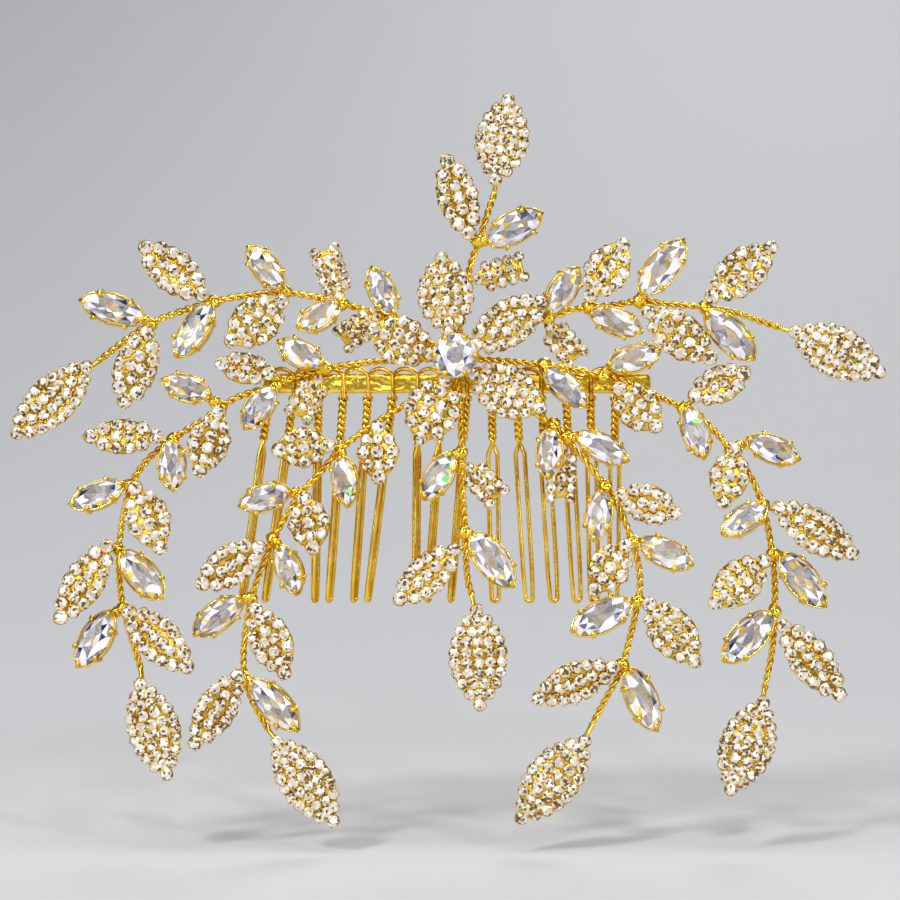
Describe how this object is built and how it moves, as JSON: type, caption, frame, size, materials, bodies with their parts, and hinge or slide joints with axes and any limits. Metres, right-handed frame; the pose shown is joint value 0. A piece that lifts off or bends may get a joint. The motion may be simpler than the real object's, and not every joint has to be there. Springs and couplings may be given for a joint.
{
  "type": "decorative hair comb",
  "caption": "Wire hair comb whose bar carries a jewelled flower and bendable leafy wire sprays with small and boat-shaped stones.",
  "frame": {"origin": "middle of the comb bar's back face, where the comb sits against the hair", "axes": "+X along the comb bar to the right as seen from the front, +Z away from the tooth tips, -Y out of the jewelled front"},
  "size_m": [0.1434, 0.0112, 0.1206],
  "materials": {
    "bar_gold": "softly hammered gold plate",
    "wire_gold": "bright gold plated wire",
    "pave": "gold plate set with small clear stones",
    "crystal": "clear faceted stone"
  },
  "bodies": {
    "comb": {"comb_bar": "bar_gold", "comb_teeth": "wire_gold", "wire_hub": "wire_gold", "centre_setting": "wire_gold", "centre_stone": "crystal", "petal_top": "pave", "petal_upper_right": "pave", "petal_lower_right": "pave", "petal_bottom": "pave", "petal_left": "pave", "outer_right_arm_leaf_1": "pave", "outer_left_arm_leaf_1": "pave"},
    "top_spray": {"top_stem": "wire_gold", "top_leaf_1": "pave", "top_leaf_2": "pave"},
    "upper_right_spray": {"upper_right_stem": "wire_gold", "upper_right_leaf_1": "pave", "upper_right_leaf_2": "pave", "upper_right_leaf_3": "pave", "upper_right_leaf_4": "pave"},
    "outer_right_spray": {"outer_right_stem": "wire_gold", "outer_right_leaf_1": "pave", "outer_right_leaf_2": "pave", "outer_right_leaf_3": "pave", "outer_right_leaf_4": "pave", "outer_right_leaf_5": "pave", "outer_right_leaf_6": "pave"},
    "inner_right_spray": {"inner_right_stem": "wire_gold", "inner_right_leaf_1": "pave", "inner_right_leaf_2": "pave", "inner_right_leaf_3": "pave", "inner_right_leaf_4": "pave", "inner_right_leaf_5": "pave"},
    "centre_spray": {"centre_stem": "wire_gold", "centre_leaf_1": "pave", "centre_leaf_2": "pave"},
    "inner_left_spray": {"inner_left_stem": "wire_gold", "inner_left_leaf_1": "pave", "inner_left_leaf_2": "pave", "inner_left_leaf_3": "pave", "inner_left_leaf_4": "pave", "inner_left_leaf_5": "pave", "inner_left_leaf_6": "pave", "inner_left_leaf_7": "pave"},
    "outer_left_spray": {"outer_left_stem": "wire_gold", "outer_left_leaf_1": "pave", "outer_left_leaf_2": "pave", "outer_left_leaf_3": "pave", "outer_left_leaf_4": "pave", "outer_left_leaf_5": "pave", "outer_left_leaf_6": "pave"},
    "upper_left_spray": {"upper_left_stem": "wire_gold", "upper_left_leaf_1": "pave", "upper_left_leaf_2": "pave", "upper_left_leaf_3": "pave", "upper_left_leaf_4": "pave"}
  },
  "joints": [
    {"name": "top_bend", "type": "hinge", "parent": "comb", "child": "top_spray", "pos_m": [0.0021, -0.00275, 0.019], "axis": [1, 0, 0], "range_deg": [-15, 35]},
    {"name": "upper_right_bend", "type": "hinge", "parent": "comb", "child": "upper_right_spray", "pos_m": [0.018, -0.00275, 0.0117], "axis": [0, 0, -1], "range_deg": [-15, 35]},
    {"name": "outer_right_bend", "type": "hinge", "parent": "comb", "child": "outer_right_spray", "pos_m": [0.0336, -0.00275, -0.0025], "axis": [0, 0, -1], "range_deg": [-15, 35]},
    {"name": "inner_right_bend", "type": "hinge", "parent": "comb", "child": "inner_right_spray", "pos_m": [0.0204, -0.00275, -0.012], "axis": [-1, 0, 0], "range_deg": [-2, 35]},
    {"name": "centre_bend", "type": "hinge", "parent": "comb", "child": "centre_spray", "pos_m": [0.0006, -0.00275, -0.0082], "axis": [-1, 0, 0], "range_deg": [-2, 35]},
    {"name": "inner_left_bend", "type": "hinge", "parent": "comb", "child": "inner_left_spray", "pos_m": [-0.0108, -0.00275, -0.0049], "axis": [-1, 0, 0], "range_deg": [-2, 35]},
    {"name": "outer_left_bend", "type": "hinge", "parent": "comb", "child": "outer_left_spray", "pos_m": [-0.0364, -0.00275, -0.0025], "axis": [0, 0, 1], "range_deg": [-15, 35]},
    {"name": "upper_left_bend", "type": "hinge", "parent": "comb", "child": "upper_left_spray", "pos_m": [-0.0166, -0.00275, 0.0124], "axis": [0, 0, 1], "range_deg": [-15, 35]}
  ]
}
